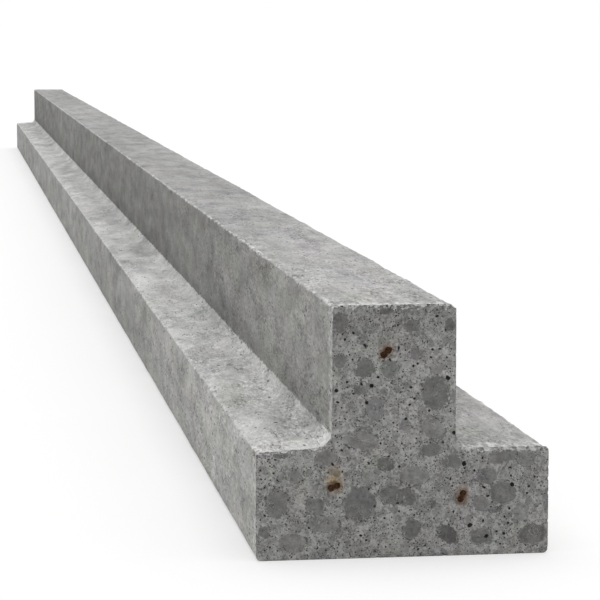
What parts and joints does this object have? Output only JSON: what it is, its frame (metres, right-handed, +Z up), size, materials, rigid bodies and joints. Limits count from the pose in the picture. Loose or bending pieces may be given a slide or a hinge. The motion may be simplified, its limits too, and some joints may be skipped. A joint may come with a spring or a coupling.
{
  "type": "precast concrete joist",
  "caption": "Prestressed concrete floor joist of inverted-T section, with ledges for infill blocks, a flat bed face and sawn ends.",
  "frame": {"origin": "middle of the bed face, the bottom of the joist, half way along it", "axes": "+Y along the joist's length, +Z up from the bed face to the top of the stem, +X across the base"},
  "size_m": [0.14, 4, 0.12],
  "materials": {
    "concrete": "matte",
    "wire_steel": "matte"
  },
  "bodies": {
    "root": {"concrete_joist": "concrete", "top_strand_lower_wire": "wire_steel", "top_strand_upper_wire": "wire_steel", "left_strand_lower_wire": "wire_steel", "left_strand_upper_wire": "wire_steel", "right_strand_lower_wire": "wire_steel", "right_strand_upper_wire": "wire_steel"}
  },
  "joints": []
}
